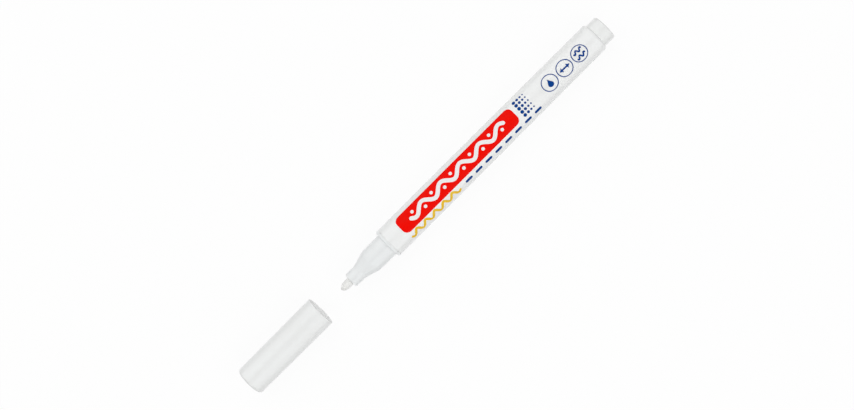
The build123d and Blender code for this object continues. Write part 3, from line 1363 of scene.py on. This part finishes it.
@dataclass
class Label:
    """Plain printed decoration on the barrel: a red bar with a white wave, and blue and yellow marks."""

    barrel: Barrel
    lift: float = 0.014
    layer: float = 0.01
    sink: float = 0.03
    bar: Bar = Bar(34.4, BAR_ARC, length=55.6, height=7.27, corner=2.2)
    wave: Wave = Wave(34.45, BAR_ARC, reach=23.25, height=1.35, length=9.3, half=0.72)
    bend_radius: float = 0.62
    bend_offset: float = 1.0125
    fade_stations: tuple[float, ...] = (64.5, 66.05, 67.45, 68.7)
    fade_radii: tuple[float, ...] = (0.66, 0.54, 0.42, 0.3)
    fade_rows: int = 5
    fade_pitch: float = 1.55
    dash: Bar = Bar(35.35, DASH_ARC, length=3.1, height=1.1, corner=0.539)
    dash_count: int = 8
    dash_pitch: float = 4.8
    curl: Wave = Wave(19.2, DASH_ARC, reach=11.8, height=1.05, length=4.3, half=0.5)
    sign_radius: float = 3.0
    sign_line: float = 0.17
    drop_radius: float = 1.12
    drop_offset: float = 0.56
    arrow: Arrow = Arrow(SIGN_STATIONS[1], SIGN_ARC, reach=2.25, head=1.2, wing=0.95, half=0.28)
    ripple: Wave = Wave(SIGN_STATIONS[2], SIGN_ARC, reach=1.86, height=0.54, length=1.86, half=0.3)
    ripple_offset: float = 1.08

    def bend_dots(self) -> list[Mark]:
        """Dot inside each bend of the white wave, on alternate sides.

        Returns:
            The dots.
        """
        step = self.wave.length / 2
        first = self.wave.station - self.wave.reach + step / 2
        sides = [-self.bend_offset, self.bend_offset]
        return [
            Dot(first + bend * step, BAR_ARC + sides[bend % 2], self.bend_radius)
            for bend in range(int(2 * self.wave.reach / step))
        ]

    def fading_dots(self) -> list[Mark]:
        """Columns of dots behind the bar, smaller towards the tail.

        Returns:
            The dots.
        """
        rows = (np.arange(self.fade_rows) - (self.fade_rows - 1) / 2) * self.fade_pitch
        return [
            Dot(station, BAR_ARC + row, radius)
            for station, radius in zip(self.fade_stations, self.fade_radii)
            for row in rows
        ]

    def dashes(self) -> list[Mark]:
        """Row of short round-ended dashes below the bar."""
        stations = self.dash.station + self.dash_pitch * np.arange(self.dash_count)
        return [replace(self.dash, station=station) for station in stations]

    def frames(self) -> list[Mark]:
        """Round outlines of the three signs."""
        return [Ring(station, SIGN_ARC, self.sign_radius, self.sign_line) for station in SIGN_STATIONS]

    def signs(self) -> list[Mark]:
        """Drop in the first sign, arrow with two heads in the second and two short waves in the third."""
        ripples = [replace(self.ripple, arc=SIGN_ARC + way * self.ripple_offset) for way in (-1, 1)]
        return [Drop(SIGN_STATIONS[0], SIGN_ARC + self.drop_offset, self.drop_radius), self.arrow, *ripples]

    def films(self) -> list[Film]:
        """All printed films.

        Returns:
            The films, from the red bar to the marks in the signs.
        """
        return [
            Film("print_bar", RED_INK, [self.bar]),
            Film("print_bar_wave", WHITE_INK, [self.wave, *self.bend_dots()], over=self.layer),
            Film("print_fading_dots", BLUE_INK, self.fading_dots()),
            Film("print_dashes", BLUE_INK, self.dashes()),
            Film("print_curl", YELLOW_INK, [self.curl]),
            Film("print_sign_frames", BLUE_INK, self.frames()),
            Film("print_sign_marks", BLUE_INK, self.signs()),
        ]

    def slab(self, mark: Mark, over: float) -> Shell:
        """Thin closed slab of one mark, bent onto the barrel.

        Each of its rings runs along the face, which stands proud, and back inside the barrel's skin. Unless
        the rings join, a row of faces closes each end.

        Args:
            mark: The mark.
            over: Thickness of what it lies over.

        Returns:
            The closed surface.
        """
        sheet = mark.sheet()
        rows, columns = sheet.shape[:2]
        there_and_back = np.concatenate([sheet, sheet[:, ::-1]], axis=1)
        height = np.repeat([self.lift + over, -self.sink], columns)
        station = there_and_back[..., 0]
        radius = self.barrel.radius_at(station) + height[None, :]
        points = on_axis(station, radius, there_and_back[..., 1] / BARREL_RADIUS).reshape(-1, 3)
        quads = ring_quads(rows, 2 * columns, mark.joined)
        if not mark.joined:
            j = np.arange(columns - 1)
            end = np.stack([j, j + 1, 2 * columns - 2 - j, 2 * columns - 1 - j], axis=1)
            quads = np.concatenate([quads, end, end[:, ::-1] + (rows - 1) * 2 * columns])
        return Shell(points, quads, NO_TRIS).facing_out()

    def build(self) -> list[tuple[Piece, Finish]]:
        """Build each film.

        Returns:
            Each piece with its ink.
        """
        pieces = []
        for film in self.films():
            slabs = [self.slab(mark, film.over) for mark in film.marks]
            pieces.append((put_mesh(film.name, slabs), film.ink))
        return pieces

    def dress(self, pieces: Sequence[tuple[Piece, Finish]]) -> None:
        """Printed inks, on the marker."""
        for piece, finish in pieces:
            fit(piece, Body.MARKER, finish)


@dataclass(frozen=True)
class Lamp:
    """Square soft lamp facing the origin, at a heading from the tail's side and a tilt above the floor.

    Both are in degrees. The power is in watts and the size in metres.
    """

    name: str
    heading: float
    power: float
    size: float
    tilt: float

    def hang(self, distance: float) -> None:
        """Hang the lamp in the scene.

        Args:
            distance: Distance from the origin in metres.
        """
        light = bpy.data.lights.new(self.name, "AREA")
        light.shape = "SQUARE"
        light.size = self.size
        light.energy = self.power
        heading = math.radians(self.heading)
        tilt = math.radians(self.tilt)
        level = math.cos(tilt)
        away = Vector((level * math.cos(heading), level * math.sin(heading), math.sin(tilt)))
        hung = bpy.data.objects.new(self.name, light)
        hung.location = away * distance
        hung.rotation_euler = away.to_track_quat("Z", "Y").to_euler()
        bpy.context.scene.collection.objects.link(hung)


@dataclass
class Studio:
    """White floor, faint light all round, four soft lamps and the camera above the marker."""

    sky_light: float = 0.04
    floor_size: float = 6.0
    floor_seen: float = 0.95
    floor_bounce: float = 0.5
    floor_glow: float = 0.93
    lamps: tuple[Lamp, ...] = (
        Lamp("lamp_left", heading=90, power=8.0, size=1.34, tilt=37),
        Lamp("lamp_right", heading=-90, power=6.9, size=1.2, tilt=36),
        Lamp("lamp_front", heading=180, power=2.4, size=1.2, tilt=33),
        Lamp("lamp_rear", heading=0, power=2.4, size=1.2, tilt=33),
    )
    lamp_distance: float = 0.9
    picture_width: float = 854.0
    pixels_a_mm: float = 2.885
    picture_up: tuple[float, float, float] = (1.0, 1.0, 0.0)
    camera_height: float = 603.0
    camera_station: float = 40.95
    camera_nearest: float = 0.01
    aim_station: float = 18.62
    aim_side: float = -0.07
    sensor: float = 36.0

    def seen(self, graph: Graph) -> Socket:
        """1 on rays that show the surroundings: from the camera, off a glossy surface or through glass.

        Args:
            graph: Tree to add to.

        Returns:
            The value socket.
        """
        path = graph.add("ShaderNodeLightPath").outputs
        direct = graph.maths("MAXIMUM", path["Is Camera Ray"], path["Is Glossy Ray"])
        return graph.maths("MAXIMUM", direct, path["Is Transmission Ray"])

    def light_sky(self) -> None:
        """Surroundings that give a faint even light, and are plain white where they are seen."""
        world = bpy.data.worlds.new("studio_sky")
        bpy.context.scene.world = world
        world.use_nodes = True
        graph = Graph(world.node_tree)
        strength = graph.spread(self.seen(graph), UNIT, self.sky_light, 1.0)
        graph.feed(world.node_tree.nodes["Background"], {"Color": WHITE, "Strength": strength})

    def lay_floor(self) -> None:
        """Matt floor that keeps a soft shadow.

        On rays that show it, its tone is pale and a white glow is mixed in. On other rays its tone is
        darker, so that it throws less light back at the marker.
        """
        side = np.array([-self.floor_size / 2, self.floor_size / 2])
        x, y = np.meshgrid(side, side, indexing="ij")
        points = np.stack([x, y, np.zeros_like(x)], axis=-1).reshape(-1, 3)
        floor = put_mesh("studio_floor", [Shell(points, np.array([[0, 2, 3, 1]]), NO_TRIS)])
        material = bpy.data.materials.new("studio_floor")
        material.use_nodes = True
        material.node_tree.nodes.clear()
        graph = Graph(material.node_tree)
        seen = self.seen(graph)
        tone = graph.spread(seen, UNIT, self.floor_bounce, self.floor_seen)
        matt = graph.add("ShaderNodeBsdfDiffuse", {"Color": tone}).outputs[0]
        glow = graph.add("ShaderNodeEmission", {"Color": WHITE, "Strength": 1.0}).outputs[0]
        share = graph.maths("MULTIPLY", seen, self.floor_glow)
        mixed = graph.add("ShaderNodeMixShader", {0: share, 1: matt, 2: glow}).outputs[0]
        graph.add("ShaderNodeOutputMaterial", {"Surface": mixed})
        floor.data.materials.append(material)

    def set_camera(self) -> None:
        """Camera above the barrel, aimed towards its front, with the tail at the picture's upper right."""
        eye = Vector((FRONT_X + self.camera_station, 0.0, AXIS_HEIGHT + self.camera_height)) * MM
        aim = Vector((FRONT_X + self.aim_station, self.aim_side, AXIS_HEIGHT)) * MM
        back = (eye - aim).normalized()
        right = Vector(self.picture_up).cross(back).normalized()
        up = back.cross(right)
        data = bpy.data.cameras.new("camera")
        data.sensor_fit = "HORIZONTAL"
        data.sensor_width = self.sensor
        data.lens = self.pixels_a_mm * self.camera_height / self.picture_width * self.sensor
        data.clip_start = self.camera_nearest
        camera = bpy.data.objects.new("camera", data)
        turn = Matrix((right, up, back)).transposed().to_4x4()
        camera.matrix_world = Matrix.Translation(eye) @ turn
        bpy.context.scene.collection.objects.link(camera)
        bpy.context.scene.camera = camera

    def build(self) -> None:
        """Set the view transform and build the surroundings."""
        bpy.context.scene.view_settings.view_transform = "Standard"
        self.light_sky()
        self.lay_floor()
        for lamp in self.lamps:
            lamp.hang(self.lamp_distance)
        self.set_camera()


def main() -> None:
    """Build and dress the marker's pieces, then the studio."""
    logging.basicConfig(level=logging.INFO, format="%(name)s %(message)s")
    barrel = Barrel()
    outside = (barrel, TailPlug(), Nose(), Nib(), CapShell(), CapLiner())
    for part in (*outside, ValveSpring(), Label(barrel)):
        part.dress(part.build())
    HiddenPieces().dress()
    Studio().build()


if __name__ == "__main__":
    main()
